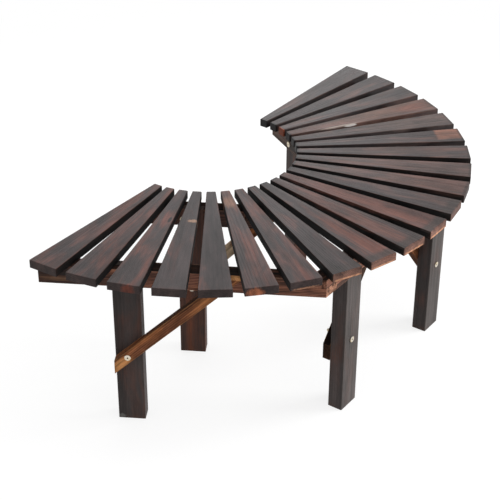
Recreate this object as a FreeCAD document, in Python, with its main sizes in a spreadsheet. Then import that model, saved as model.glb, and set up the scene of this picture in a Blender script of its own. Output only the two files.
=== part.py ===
import FreeCAD, Part

import math
import os
import re

import Sketcher

# Half-round timber bench that stands against a tree. Tapered slats radiate from the tree on two
# frames, each half a hexagon of half-lapped rails, with six legs and six diagonal braces.
# Millimetres. The floor is Z = 0, the straight side faces +Y, and the tree's centre is at X = 0,
# Y = half the seat's radius. Pieces are drawn in frames turned about that centre: local X runs
# along a rail, and local Y points at the tree, so a distance "out" from the tree is negative Y.

os.makedirs("parts", exist_ok=True)
doc = FreeCAD.newDocument("tree_bench")
sheet = doc.addObject("Spreadsheet::Sheet", "Sizes")

# The half circle is three equal sides of a hexagon, so the frames turn by 60 degrees at a corner.
CORNER_ANGLE = 60

DRIVING_SIZES = [
    ("seat_radius", 700, "tree centre to the slats' outer ends"),
    ("opening_radius", 236, "tree centre to the slats' inner ends"),
    ("seat_height", 457, "floor to the slats' upper faces"),
    ("slat_count", 21, "slats in the half circle"),
    ("slat_outer_width", 80, "slat width at the outer end"),
    ("slat_inner_width", 23.5, "slat width at the inner end"),
    ("slat_thickness", 21, "slat thickness"),
    ("slat_edge_round", 2, "radius on the slats' upper and upright edges"),
    ("outer_rail_reach", 596, "tree centre to the outer rails' outer faces"),
    ("inner_rail_inset", 19, "slats' inner ends beyond the inner rails' inner faces"),
    ("timber_depth", 40, "width of the rails and depth of the legs, one stock"),
    ("rail_height", 47, "rail height"),
    ("rail_end_setback", 8, "side rails' free ends behind the bench's straight side"),
    ("lap_gap", 0.4, "gap at the shoulders of a half lap"),
    ("rail_web", 20, "rail left standing where a leg is housed"),
    ("housing_gap", 0.5, "gap on each side of a leg in its housing"),
    ("leg_width", 67, "leg width along the rail"),
    ("leg_edge_round", 2, "radius on the legs' upright edges"),
    ("side_leg_offset", 127, "outer side leg from the middle of its rail, away from the front"),
    ("front_leg_offset", 216, "front legs from the middle of the front rail"),
    ("inner_leg_offset", 13, "inner leg from the middle of its rail, away from the front"),
    ("brace_width", 28, "brace width"),
    ("brace_thickness", 21, "brace thickness"),
    ("brace_foot_height", 200, "floor to the bolt at a brace's foot"),
    ("side_brace_bolt", 106, "top bolt of a side brace beyond the middle of its rail"),
    ("side_brace_drop", 19, "top bolt of a side brace below the slats"),
    ("front_brace_bolt", 45, "top bolt of a front brace from the middle of the front rail"),
    ("front_brace_drop", 32, "top bolt of a front brace below the slats"),
    ("front_brace_gap", 8, "gap between the two front braces' ends"),
    ("leg_bolt_offset", 18, "bolt of a leg joint from the leg's middle, away from the front"),
    ("leg_bolt_drop", 30, "bolt of a leg joint below the slats"),
    ("bolt_diameter", 6, "bolt shank"),
    ("bolt_hole_gap", 0.5, "gap round a bolt in timber"),
    ("bolt_head_diameter", 16, "flat round bolt head"),
    ("bolt_head_height", 2.5, "bolt head height"),
    ("bolt_head_round", 0.8, "radius on the rim of a bolt head"),
    ("bolt_socket_width", 4, "across the flats of the socket in a bolt head"),
    ("bolt_socket_depth", 3, "depth of the socket"),
    ("bolt_end", 3, "bolt beyond its nut"),
    ("nut_width", 10, "across the flats of a nut"),
    ("nut_height", 5, "nut height"),
    ("thread_gap", 0.1, "gap between a bolt and its nut"),
    ("washer_diameter", 18, "washer diameter"),
    ("washer_thickness", 1.6, "washer thickness"),
    ("washer_gap", 0.3, "gap between a bolt and its washer"),
    ("screw_diameter", 4.5, "screw shank"),
    ("screw_head_diameter", 9, "screw head"),
    ("screw_head_height", 2.6, "height of a screw's countersunk head"),
    ("screw_drive_width", 3, "square drive in a screw's head"),
    ("screw_drive_depth", 1.8, "depth of the drive"),
    ("screw_tip", 5, "length of a screw's tip"),
    ("screw_hole_gap", 0.3, "gap round a screw in its hole"),
    ("pilot_end_gap", 1, "hole beyond a screw's tip"),
    ("slat_screw_length", 60, "slat screw length"),
    ("slat_screw_spacing", 26, "between the two screws of a slat on the outer rails"),
    ("slat_screw_inset", 10, "slat screws from the rail face that is left whole"),
    ("lap_screw_length", 40, "lap screw length"),
    ("lap_screw_spacing", 30, "between the two screws of a lap"),
    ("brace_screw_length", 60, "inner brace screw length"),
]

DERIVED_SIZES = [
    ("slat_underside", "seat_height - slat_thickness"),
    ("rail_underside", "slat_underside - rail_height"),
    ("lap_height", "rail_height / 2"),
    ("outer_rail_near", "outer_rail_reach - timber_depth"),
    ("inner_rail_reach", "opening_radius + inner_rail_inset"),
    ("inner_rail_far", "inner_rail_reach + timber_depth"),
    ("leg_reveal", "timber_depth - rail_web"),
    ("slat_rise", "slat_underside - brace_foot_height"),
    ("rail_rise", "rail_underside - brace_foot_height"),
    ("side_brace_run", "side_leg_offset + side_brace_bolt"),
    ("front_brace_run", "front_leg_offset - front_brace_bolt"),
    ("inner_brace_out", "inner_rail_reach - brace_thickness / 2"),
    ("inner_front_out", "inner_rail_reach + timber_depth / 2"),
    ("inner_brace_top", f"(inner_front_out - inner_brace_out * cos({CORNER_ANGLE})) / sin({CORNER_ANGLE})"),
    ("inner_brace_run", "inner_leg_offset + inner_brace_top"),
    ("side_slope", "(slat_rise - side_brace_drop) / side_brace_run"),
    ("front_slope", "(slat_rise - front_brace_drop) / front_brace_run"),
    ("inner_slope", "rail_rise / inner_brace_run"),
    ("leg_bolt_height", "slat_underside - leg_bolt_drop"),
    ("leg_bolt_length", "timber_depth + washer_thickness + nut_height + bolt_end"),
    ("brace_bolt_length", "leg_bolt_length + brace_thickness"),
]

for row, (alias, number, meaning) in enumerate(DRIVING_SIZES, start=1):
    sheet.set(f"A{row}", alias)
    sheet.set(f"B{row}", str(number))
    sheet.setAlias(f"B{row}", alias)
    sheet.set(f"C{row}", meaning)
for row, (alias, formula) in enumerate(DERIVED_SIZES, start=len(DRIVING_SIZES) + 1):
    sheet.set(f"A{row}", alias)
    sheet.set(f"B{row}", f"={formula}")
    sheet.setAlias(f"B{row}", alias)
doc.recompute()


def size(expression):
    """Number that an expression of the sheet's names gives."""
    return float(sheet.evalExpression(expression))


CHORD_ANGLES = {"left": -CORNER_ANGLE, "front": 0, "right": CORNER_ANGLE}
CHORD_HANDS = {"left": -1, "front": 1, "right": 1}
TREE_CENTRE = FreeCAD.Vector(0, size("seat_radius / 2"), 0)
UP = FreeCAD.Vector(0, 0, 1)
OVERRUN = 1
AXIS_TOLERANCE = 1e-7


def turned(angle, along=0.0, out=0.0, height=0.0):
    """Placement in the frame turned by an angle about the tree, a distance out from it."""
    about_tree = FreeCAD.Placement(TREE_CENTRE, FreeCAD.Rotation(UP, angle))
    offset = FreeCAD.Vector(along, -out, height)
    return about_tree.multiply(FreeCAD.Placement(offset, FreeCAD.Rotation()))


def slat_angles():
    """Angle of each slat from the front; the end slats' free edges lie on the straight side."""
    edge_angle = math.degrees(math.atan(size("slat_outer_width / 2 / seat_radius")))
    count = int(size("slat_count"))
    pitch = (180 - 2 * edge_angle) / (count - 1)
    return [(index - (count - 1) / 2) * pitch for index in range(count)]


def named(expression):
    """The same expression with each of the sheet's names addressed from another object."""
    aliases = [row[0] for row in DRIVING_SIZES + DERIVED_SIZES]

    def addressed(word):
        return f"Sizes.{word[0]}" if word[0] in aliases else word[0]

    return re.sub("[a-z_]+", addressed, expression)


def new_body(label, placement):
    body = doc.addObject("PartDesign::Body", f"{label}_body")
    body.Label = f"{label}_body"
    body.Placement = placement
    return body


def new_sketch(body, name, role, lift="0"):
    """Empty sketch on one of the body's own origin planes, lifted along the plane's normal."""
    sketch = body.newObject("Sketcher::SketchObject", name)
    plane = next(feature for feature in body.Origin.OriginFeatures if feature.Role == role)
    sketch.AttachmentSupport = [(plane, "")]
    sketch.MapMode = "FlatFace"
    if lift != "0":
        sketch.setExpression("AttachmentOffset.Base.z", named(lift))
    return sketch


def hold_point(sketch, line, point, across, upward):
    """Fix a point of the sketch by two distances from its origin, or on an axis where one is 0."""
    for kind, axis, expression in (("DistanceX", -2, across), ("DistanceY", -1, upward)):
        distance = size(expression)
        if abs(distance) < AXIS_TOLERANCE:
            sketch.addConstraint(Sketcher.Constraint("PointOnObject", line, point, axis))
            continue
        held = sketch.addConstraint(Sketcher.Constraint(kind, -1, 1, line, point, distance))
        sketch.setExpression(f"Constraints[{held}]", named(expression))


def draw_outline(sketch, corners):
    """Closed outline of straight lines; each corner is a pair of expressions."""
    points = [FreeCAD.Vector(size(across), size(upward), 0) for across, upward in corners]
    count = len(points)
    for index in range(count):
        sketch.addGeometry(Part.LineSegment(points[index], points[(index + 1) % count]), False)
    for index in range(count):
        sketch.addConstraint(Sketcher.Constraint("Coincident", index, 2, (index + 1) % count, 1))
    for index, (across, upward) in enumerate(corners):
        hold_point(sketch, index, 1, across, upward)


def draw_circle(sketch, radius):
    circle = sketch.addGeometry(Part.Circle(FreeCAD.Vector(), UP, size(radius)), False)
    sketch.addConstraint(Sketcher.Constraint("Coincident", circle, 3, -1, 1))
    held = sketch.addConstraint(Sketcher.Constraint("Radius", circle, size(radius)))
    sketch.setExpression(f"Constraints[{held}]", named(radius))


def add_pad(body, sketch, name, length, symmetric=False, reverse=False):
    pad = body.newObject("PartDesign::Pad", name)
    pad.Profile = sketch
    pad.SideType = "Symmetric" if symmetric else "One side"
    pad.Reversed = reverse
    pad.setExpression("Length", named(length))
    sketch.Visibility = False
    return pad


def round_edges(body, feature, name, radius, wanted):
    """Round those edges of a feature that the test picks, given an edge and its middle point."""
    doc.recompute()
    edges = [
        f"Edge{number}"
        for number, edge in enumerate(feature.Shape.Edges, start=1)
        if wanted(edge, edge.CenterOfMass)
    ]
    fillet = body.newObject("PartDesign::Fillet", name)
    fillet.Base = (feature, edges)
    fillet.setExpression("Radius", named(radius))
    return fillet


def is_upright(edge):
    ends = [vertex.Point for vertex in edge.Vertexes]
    return (ends[0] - ends[1]).cross(UP).Length < AXIS_TOLERANCE


# Seat

def make_slat(label, angle):
    """Tapered board with square ends; its length points away from the tree."""
    body = new_body(label, turned(angle, height=size("slat_underside")))
    sketch = new_sketch(body, f"{label}_outline", "XY_Plane")
    draw_outline(sketch, [
        ("-slat_inner_width / 2", "-opening_radius"),
        ("-slat_outer_width / 2", "-seat_radius"),
        ("slat_outer_width / 2", "-seat_radius"),
        ("slat_inner_width / 2", "-opening_radius"),
    ])
    board = add_pad(body, sketch, f"{label}_board", "slat_thickness")
    middle_height = size("slat_thickness / 2")
    round_edges(
        body, board, f"{label}_edges", "slat_edge_round",
        lambda edge, middle: middle.z > middle_height + AXIS_TOLERANCE or is_upright(edge),
    )
    return body


# Frames

def crossing(own, other):
    """Along a rail, where a line at one distance from the tree crosses the next rail's line."""
    return f"(({other}) - ({own}) * cos({CORNER_ANGLE})) / sin({CORNER_ANGLE})"


def free_end(out):
    """Along a side rail, where its end is cut parallel to the straight side."""
    return f"(({out}) * cos({CORNER_ANGLE}) - rail_end_setback) / sin({CORNER_ANGLE})"


def rail_outline(near, far, left_end, right_end, housings, housed_face):
    """Corners of a rail seen from above, with a housing for each leg in one face."""
    near_face = [(left_end(near), near)]
    far_face = [(left_end(far), far)]
    for middle in housings:
        start = f"({middle}) - leg_width / 2 - housing_gap"
        stop = f"({middle}) + leg_width / 2 + housing_gap"
        if housed_face == "near":
            bottom = f"({far}) - rail_web"
            near_face += [(start, near), (start, bottom), (stop, bottom), (stop, near)]
        else:
            bottom = f"({near}) + rail_web"
            far_face += [(start, far), (start, bottom), (stop, bottom), (stop, far)]
    near_face.append((right_end(near), near))
    far_face.append((right_end(far), far))
    return near_face + far_face[::-1]


def make_rail(label, side, near, far, housings, housed_face):
    """Rail of two halves, one above the other: the front rail laps over the side rails."""
    body = new_body(label, turned(CHORD_ANGLES[side], height=size("rail_underside")))
    shoulder = f"({near}) - lap_gap"
    if side == "front":
        reaches = {"lower": shoulder, "upper": far}
    else:
        reaches = {"lower": far, "upper": shoulder}
    for half, lift in (("lower", "0"), ("upper", "lap_height")):
        reach = reaches[half]
        left_end = lambda out: f"-{crossing(out, reach)}"
        right_end = (lambda out: crossing(out, reach)) if side == "front" else free_end
        corners = rail_outline(near, far, left_end, right_end, housings, housed_face)
        sketch = new_sketch(body, f"{label}_{half}", "XY_Plane", lift)
        hand = CHORD_HANDS[side]
        draw_outline(sketch, [(f"{hand} * ({along})", f"-({out})") for along, out in corners])
        add_pad(body, sketch, f"{label}_{half}_half", "lap_height")
    return body


# Legs, with a tongue that rises beside the rail's web

def make_leg(label, side, along, near, housed_face):
    body = new_body(label, turned(CHORD_ANGLES[side], size(along), size(near)))
    sketch = new_sketch(body, f"{label}_profile", "YZ_Plane")
    if housed_face == "near":
        corners = [
            ("0", "0"), ("0", "slat_underside"), ("-leg_reveal", "slat_underside"),
            ("-leg_reveal", "rail_underside"), ("-timber_depth", "rail_underside"), ("-timber_depth", "0"),
        ]
    else:
        corners = [
            ("0", "0"), ("0", "rail_underside"), ("-rail_web", "rail_underside"),
            ("-rail_web", "slat_underside"), ("-timber_depth", "slat_underside"), ("-timber_depth", "0"),
        ]
    draw_outline(sketch, corners)
    post = add_pad(body, sketch, f"{label}_post", "leg_width", symmetric=True)
    foot_reach = size("leg_width / 2")
    round_edges(
        body, post, f"{label}_edges", "leg_edge_round",
        lambda edge, middle: is_upright(edge)
        and abs(abs(middle.x) - foot_reach) < AXIS_TOLERANCE
        and min(abs(middle.y), abs(middle.y + size("timber_depth"))) < AXIS_TOLERANCE,
    )
    return body


# Braces, drawn as if each rises towards +X from a foot bolt at the origin

def brace_edge(slope, rise, side):
    """Along the brace, where its upper (-1) or lower (1) edge reaches a height above the foot."""
    return f"(({rise}) + {side} * brace_width / 2 * sqrt(1 + {slope} ^ 2)) / {slope}"


def brace_height(slope, along, side):
    """Height of the brace's upper (-1) or lower (1) edge above the foot bolt."""
    return f"({along}) * {slope} - {side} * brace_width / 2 * sqrt(1 + {slope} ^ 2)"


def brace_outline(slope, top):
    """Upright cut at the leg's side and a level cut at the top."""
    foot = "-leg_width / 2"
    return [
        (foot, brace_height(slope, foot, -1)),
        (foot, brace_height(slope, foot, 1)),
        (brace_edge(slope, top, 1), top),
        (brace_edge(slope, top, -1), top),
    ]


def make_brace(label, side, foot, out, rising, outline):
    """Brace in front of an upright face at a distance out; rising is the way it climbs."""
    place = turned(CHORD_ANGLES[side], size(foot), size(out), size("brace_foot_height"))
    body = new_body(label, place)
    sketch = new_sketch(body, f"{label}_outline", "XZ_Plane")
    draw_outline(sketch, [(f"{rising} * ({along})", height) for along, height in outline])
    add_pad(body, sketch, f"{label}_board", "brace_thickness")
    return body


def trim_brace(body, label, rising, start, outline):
    """Upright cut that takes off what a brace's tip has beyond a place along it."""
    board = body.Tip
    tip, top = outline[2]
    sketch = new_sketch(body, f"{label}_trim", "XZ_Plane")
    stop = f"{tip} + {OVERRUN}"
    corners = [(start, "0"), (stop, "0"), (stop, f"{top} + {OVERRUN}"), (start, f"{top} + {OVERRUN}")]
    draw_outline(sketch, [(f"{rising} * ({along})", height) for along, height in corners])
    cut = body.newObject("PartDesign::Pocket", f"{label}_end")
    cut.Profile = sketch
    cut.Reversed = True
    cut.setExpression("Length", named("brace_thickness"))
    doc.recompute()
    if size(start) < size(tip) and cut.Shape.Volume >= board.Shape.Volume:
        raise ValueError(f"the trim of {label} cuts nothing")


# Fasteners, drawn once each with the head at the origin and the point towards +Z

def add_recess(body, name, corners, lift, depth):
    """Pocket with straight sides, cut towards +Z from a height."""
    solid = body.Tip
    sketch = new_sketch(body, f"{name}_outline", "XY_Plane", lift)
    draw_outline(sketch, corners)
    recess = body.newObject("PartDesign::Pocket", name)
    recess.Profile = sketch
    recess.Reversed = True
    recess.setExpression("Length", named(depth))
    doc.recompute()
    if recess.Shape.Volume >= solid.Shape.Volume:
        raise ValueError(f"{name} cuts nothing")


def make_screw(label, length):
    body = new_body(label, FreeCAD.Placement())
    sketch = new_sketch(body, f"{label}_profile", "XZ_Plane")
    draw_outline(sketch, [
        ("0", "0"), ("screw_head_diameter / 2", "0"), ("screw_diameter / 2", "screw_head_height"),
        ("screw_diameter / 2", f"{length} - screw_tip"), ("0", length),
    ])
    turned_body = body.newObject("PartDesign::Revolution", f"{label}_turned")
    turned_body.Profile = sketch
    turned_body.ReferenceAxis = (sketch, ["V_Axis"])
    turned_body.Angle = 360
    doc.recompute()
    left, right = "-screw_drive_width / 2", "screw_drive_width / 2"
    square = [(left, left), (right, left), (right, right), (left, right)]
    add_recess(body, f"{label}_drive", square, "0", "screw_drive_depth")
    return body


def hexagon(width):
    """Corners of a hexagon, given across its flats."""
    radius = f"{width} / 2 / cos(30)"
    return [(f"{radius} * cos({turn})", f"{radius} * sin({turn})") for turn in range(0, 360, 60)]


def make_bolt(label, length):
    """Bolt with a flat round head and a six-sided socket."""
    body = new_body(label, FreeCAD.Placement())
    head = new_sketch(body, f"{label}_disc", "XY_Plane")
    draw_circle(head, "bolt_head_diameter / 2")
    add_pad(body, head, f"{label}_head", "bolt_head_height", reverse=True)
    shank = new_sketch(body, f"{label}_round", "XY_Plane")
    draw_circle(shank, "bolt_diameter / 2")
    whole = add_pad(body, shank, f"{label}_shank", length)
    round_edges(
        body, whole, f"{label}_rim", "bolt_head_round",
        lambda edge, middle: abs(middle.z + size("bolt_head_height")) < AXIS_TOLERANCE,
    )
    doc.recompute()
    add_recess(
        body, f"{label}_socket", hexagon("bolt_socket_width"), "-bolt_head_height", "bolt_socket_depth"
    )
    return body


def make_nut(label):
    body = new_body(label, FreeCAD.Placement())
    sketch = new_sketch(body, f"{label}_hexagon", "XY_Plane")
    draw_outline(sketch, hexagon("nut_width"))
    draw_circle(sketch, "bolt_diameter / 2 + thread_gap")
    add_pad(body, sketch, f"{label}_block", "nut_height")
    return body


def make_washer(label):
    body = new_body(label, FreeCAD.Placement())
    sketch = new_sketch(body, f"{label}_ring", "XY_Plane")
    draw_circle(sketch, "washer_diameter / 2")
    draw_circle(sketch, "bolt_diameter / 2 + washer_gap")
    add_pad(body, sketch, f"{label}_disc", "washer_thickness")
    return body


boards = {}
holes = {}
fasteners = {}


def add_hole(shape, pieces):
    for piece in pieces:
        holes.setdefault(piece, []).append(shape)


def screw_hole(length, frame):
    """Clearance round a screw: countersink, shank and a blind end past the tip."""
    gap = size("screw_hole_gap")
    head = size("screw_head_diameter / 2") + gap
    shank = size("screw_diameter / 2") + gap
    end = size(length) + size("pilot_end_gap")
    sunk = size("screw_head_height")
    points = [(0, -OVERRUN), (head, -OVERRUN), (head, 0), (shank, sunk), (shank, end), (0, end)]
    ring = Part.makePolygon([FreeCAD.Vector(x, 0, z) for x, z in points + points[:1]])
    hole = Part.Face(ring).revolve(FreeCAD.Vector(), UP, 360)
    hole.Placement = frame
    return hole


def add_screw(group, template, length, frame, pieces):
    screw = template.Shape.copy()
    screw.Placement = frame
    fasteners.setdefault(group, []).append(screw)
    add_hole(screw_hole(length, frame), pieces)


def add_bolt(groups, template, grip, frame, pieces):
    """Bolt, washer and nut, from the face the head bears on through a grip of timber."""
    parts = [
        (groups["bolts"], template, 0),
        (groups["washers"], washer, grip),
        (groups["nuts"], nut, grip + size("washer_thickness")),
    ]
    for group, source, shift in parts:
        part = source.Shape.copy()
        part.Placement = frame.multiply(FreeCAD.Placement(FreeCAD.Vector(0, 0, shift), FreeCAD.Rotation()))
        fasteners.setdefault(group, []).append(part)
    radius = size("bolt_diameter / 2 + bolt_hole_gap")
    hole = Part.makeCylinder(radius, grip + 2 * OVERRUN, FreeCAD.Vector(0, 0, -OVERRUN))
    hole.Placement = frame
    add_hole(hole, pieces)


def level(side, along, out, height, inward):
    """Frame on an upright face, its Z pointing through the timber towards or away from the tree."""
    turn = FreeCAD.Rotation(FreeCAD.Vector(1, 0, 0), -90 if inward else 90)
    return turned(CHORD_ANGLES[side], along, out, height).multiply(FreeCAD.Placement(FreeCAD.Vector(), turn))


# Seat slats

for index, angle in enumerate(slat_angles(), start=1):
    name = f"slat_{index:02d}"
    boards[name] = make_slat(name, angle)

# Rails: legs are housed in the faces that the outer rails turn to the tree and the inner ones away

OUTER_RING = ("outer_rail_near", "outer_rail_reach")
INNER_RING = ("inner_rail_reach", "inner_rail_far")
for side in CHORD_ANGLES:
    outer_housings = ["-front_leg_offset", "front_leg_offset"] if side == "front" else ["side_leg_offset"]
    inner_housings = [] if side == "front" else ["inner_leg_offset"]
    name = f"outer_rail_{side}"
    boards[name] = make_rail(name, side, *OUTER_RING, outer_housings, "near")
    name = f"inner_rail_{side}"
    boards[name] = make_rail(name, side, *INNER_RING, inner_housings, "far")

# Legs: name, rail's side, place along the rail, face nearest the tree, housed face

LEGS = [
    ("front_leg_left", "front", "-front_leg_offset", "outer_rail_near", "near"),
    ("front_leg_right", "front", "front_leg_offset", "outer_rail_near", "near"),
    ("side_leg_left", "left", "-side_leg_offset", "outer_rail_near", "near"),
    ("side_leg_right", "right", "side_leg_offset", "outer_rail_near", "near"),
    ("inner_leg_left", "left", "-inner_leg_offset", "inner_rail_reach", "far"),
    ("inner_leg_right", "right", "inner_leg_offset", "inner_rail_reach", "far"),
]
for name, side, along, near, housed_face in LEGS:
    boards[name] = make_leg(name, side, along, near, housed_face)

# Braces: side braces lie on the outer faces, front and inner braces on the faces towards the tree

side_outline = brace_outline("side_slope", "slat_rise")
front_outline = brace_outline("front_slope", "slat_rise")
inner_outline = brace_outline("inner_slope", "rail_rise")
FRONT_BRACE_OUT = "outer_rail_near - brace_thickness"
INNER_BRACE_OUT = "inner_rail_reach - brace_thickness"
BRACES = [
    ("front_brace_left", "front", "-front_leg_offset", FRONT_BRACE_OUT, 1, front_outline),
    ("front_brace_right", "front", "front_leg_offset", FRONT_BRACE_OUT, -1, front_outline),
    ("side_brace_left", "left", "-side_leg_offset", "outer_rail_reach", 1, side_outline),
    ("side_brace_right", "right", "side_leg_offset", "outer_rail_reach", -1, side_outline),
    ("inner_brace_left", "left", "-inner_leg_offset", INNER_BRACE_OUT, 1, inner_outline),
    ("inner_brace_right", "right", "inner_leg_offset", INNER_BRACE_OUT, -1, inner_outline),
]
for name, side, foot, out, rising, outline in BRACES:
    boards[name] = make_brace(name, side, foot, out, rising, outline)
    if side == "front":
        trim_brace(boards[name], name, rising, "front_leg_offset - front_brace_gap / 2", outline)

# Fastener patterns

slat_screw = make_screw("slat_screw", "slat_screw_length")
lap_screw = make_screw("lap_screw", "lap_screw_length")
brace_screw = make_screw("brace_screw", "brace_screw_length")
leg_bolt = make_bolt("leg_bolt", "leg_bolt_length")
brace_bolt = make_bolt("brace_bolt", "brace_bolt_length")
nut = make_nut("nut")
washer = make_washer("washer")
doc.recompute()

# Slat screws, driven up through the rails where each slat crosses them

half_spacing = size("slat_screw_spacing / 2")
SLAT_SCREW_ROWS = (
    ("outer", size("outer_rail_reach - slat_screw_inset"), (-half_spacing, half_spacing)),
    ("inner", size("inner_rail_reach + slat_screw_inset"), (0,)),
)
for index, angle in enumerate(slat_angles(), start=1):
    side = min(CHORD_ANGLES, key=lambda name: abs(angle - CHORD_ANGLES[name]))
    lean = math.tan(math.radians(angle - CHORD_ANGLES[side]))
    for ring, row, shifts in SLAT_SCREW_ROWS:
        pieces = [f"slat_{index:02d}"] + [f"{ring}_rail_{near_side}" for near_side in CHORD_ANGLES]
        for shift in shifts:
            frame = turned(CHORD_ANGLES[side], row * lean + shift, row, size("rail_underside"))
            add_screw(f"{ring}_slat_screws", slat_screw, "slat_screw_length", frame, pieces)

# Lap screws, two across each corner, driven up from the side rail into the front rail

HALF_CORNER_ANGLE = CORNER_ANGLE / 2
half_spacing = size("lap_screw_spacing / 2")
for ring, middle in (
    ("outer", size("outer_rail_reach - timber_depth / 2")),
    ("inner", size("inner_front_out")),
):
    out = middle / math.cos(math.radians(HALF_CORNER_ANGLE))
    for side, corner_angle in (("left", -HALF_CORNER_ANGLE), ("right", HALF_CORNER_ANGLE)):
        for shift in (-half_spacing, half_spacing):
            frame = turned(corner_angle, shift, out, size("rail_underside"))
            pieces = [f"{ring}_rail_{side}", f"{ring}_rail_front"]
            add_screw("lap_screws", lap_screw, "lap_screw_length", frame, pieces)

# Leg bolts, through the rail's web and the leg's tongue, on the side of the leg away from its brace

LEG_BOLTS = {"bolts": "leg_bolts", "washers": "leg_washers", "nuts": "leg_nuts"}
for name, side, along, near, housed_face in LEGS:
    leg_place = size(along)
    bolt_place = leg_place + math.copysign(size("leg_bolt_offset"), leg_place)
    inward = housed_face == "near"
    face = size("outer_rail_reach") if inward else size("inner_rail_reach")
    ring = "outer" if inward else "inner"
    frame = level(side, bolt_place, face, size("leg_bolt_height"), inward)
    add_bolt(LEG_BOLTS, leg_bolt, size("timber_depth"), frame, [name, f"{ring}_rail_{side}"])

# Brace bolts, through each brace's foot and leg, and through the outer braces' tops and rail

FOOT_BOLTS = {"bolts": "brace_foot_bolts", "washers": "brace_foot_washers", "nuts": "brace_foot_nuts"}
TOP_BOLTS = {"bolts": "brace_top_bolts", "washers": "brace_top_washers", "nuts": "brace_top_nuts"}
brace_grip = size("timber_depth + brace_thickness")
for name, side, foot, out, rising, outline in BRACES:
    leg = name.replace("brace", "leg")
    foot_place = size(foot)
    kind = name.split("_")[0]
    face = {
        "front": size("outer_rail_reach"),
        "side": size("outer_rail_reach + brace_thickness"),
        "inner": size("inner_rail_far"),
    }[kind]
    foot_frame = level(side, foot_place, face, size("brace_foot_height"), True)
    add_bolt(FOOT_BOLTS, brace_bolt, brace_grip, foot_frame, [name, leg])
    top_place = foot_place + rising * size(f"{kind}_brace_run")
    if kind == "inner":
        screw_height = size("rail_underside - brace_width / 2 * sqrt(1 + inner_slope ^ 2)")
        frame = turned(CHORD_ANGLES[side], top_place, size("inner_brace_out"), screw_height)
        add_screw("brace_top_screws", brace_screw, "brace_screw_length", frame, [name, "inner_rail_front"])
        continue
    top_height = size(f"brace_foot_height + {kind}_slope * {kind}_brace_run")
    top_frame = level(side, top_place, face, top_height, True)
    add_bolt(TOP_BOLTS, brace_bolt, brace_grip, top_frame, [name, f"outer_rail_{side}"])

# Drilled boards and grouped fasteners are the finished pieces

pieces = {}
for name, board in boards.items():
    drill = doc.addObject("Part::Feature", f"{name}_drill")
    drill.Shape = Part.makeCompound(holes[name])
    drilled = doc.addObject("Part::Cut", name)
    drilled.Base = board
    drilled.Tool = drill
    drilled.Label = name
    pieces[name] = drilled
for group, shapes in fasteners.items():
    feature = doc.addObject("Part::Feature", group)
    feature.Shape = Part.makeCompound(shapes)
    feature.Label = group
    pieces[group] = feature
doc.recompute()

for thing in doc.Objects:
    if "Invalid" in thing.State or "Error" in thing.State:
        raise ValueError(f"{thing.Label} did not build: {thing.State}")
for name, piece in pieces.items():
    if piece.Shape.isNull() or not piece.Shape.isValid():
        raise ValueError(f"{name} has no valid shape")
for name, board in boards.items():
    if len(pieces[name].Shape.Solids) != 1:
        raise ValueError(f"{name} is not one solid")
    if pieces[name].Shape.Volume >= board.Shape.Volume:
        raise ValueError(f"no hole is cut in {name}")
for name, piece in pieces.items():
    piece.Shape.exportStep(os.path.join("parts", f"{name}.step"))
print(f"{len(pieces)} pieces written")
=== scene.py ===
import math
import random

import bpy
from mathutils import Matrix, Vector


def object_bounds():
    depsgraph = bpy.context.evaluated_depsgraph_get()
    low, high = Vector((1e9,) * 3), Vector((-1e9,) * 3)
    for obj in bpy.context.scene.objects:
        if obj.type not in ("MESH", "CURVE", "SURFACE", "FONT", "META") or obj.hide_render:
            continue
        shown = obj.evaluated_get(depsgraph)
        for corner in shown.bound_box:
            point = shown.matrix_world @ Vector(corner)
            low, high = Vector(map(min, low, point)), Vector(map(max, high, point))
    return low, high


# Looks of a half-round slatted tree bench: stained softwood with worn edges, plated bolts and
# screws. Metres. +Z is up, and the straight side that meets the tree faces +Y.

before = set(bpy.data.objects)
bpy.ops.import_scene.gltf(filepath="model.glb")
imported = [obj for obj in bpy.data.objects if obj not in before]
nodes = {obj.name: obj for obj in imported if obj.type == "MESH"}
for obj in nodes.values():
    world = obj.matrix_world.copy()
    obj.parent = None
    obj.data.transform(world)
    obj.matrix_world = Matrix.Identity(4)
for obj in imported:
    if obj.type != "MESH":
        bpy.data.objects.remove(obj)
cad_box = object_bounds()
low_corner, high_corner = (Vector(corner) for corner in cad_box)

SLAT_OUTER_WIDTH = 0.080
SLAT_INNER_WIDTH = 0.0235
SLAT_COUNT = sum(name.startswith("slat_") for name in nodes)
SEAT_RADIUS = (high_corner.x - low_corner.x) / 2
SEAT_HEIGHT = high_corner.z
TREE_CENTRE = Vector((0, high_corner.y, 0))
CHORD_ANGLES = {"left": -60, "front": 0, "right": 60}

# Axes in a board's own frame, and then in a frame at the tree's centre that looks outward

LENGTHWISE, SIDEWAYS, THROUGH = (1, 0, 0), (0, 1, 0), (0, 0, 1)
OUT, ALONG, UP = (1, 0, 0), (0, 1, 0), (0, 0, 1)
TREEWARD, DOWN = (-1, 0, 0), (0, 0, -1)

rng = random.Random(11)


# Frames of the boards: X along the grain, Y across the width, Z through the thickness

def outward(degrees):
    """Frame at the tree's centre whose X points away from the tree, at an angle from the front."""
    turn = Matrix.Rotation(math.radians(degrees - 90), 4, "Z")
    return Matrix.Translation(TREE_CENTRE) @ turn


def box_in(place, name):
    """Lowest and highest corner of a node, measured in a frame."""
    to_frame = place.inverted()
    points = [to_frame @ vertex.co for vertex in nodes[name].data.vertices]
    low = Vector([min(point[axis] for point in points) for axis in range(3)])
    high = Vector([max(point[axis] for point in points) for axis in range(3)])
    return low, high


def centred(place, axes, name):
    """Frame with those axes in the middle of a node, and half the node's size along them."""
    turned = place @ Matrix([list(axis) for axis in axes]).transposed().to_4x4()
    low, high = box_in(turned, name)
    return turned @ Matrix.Translation((low + high) / 2), (high - low) / 2


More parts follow.
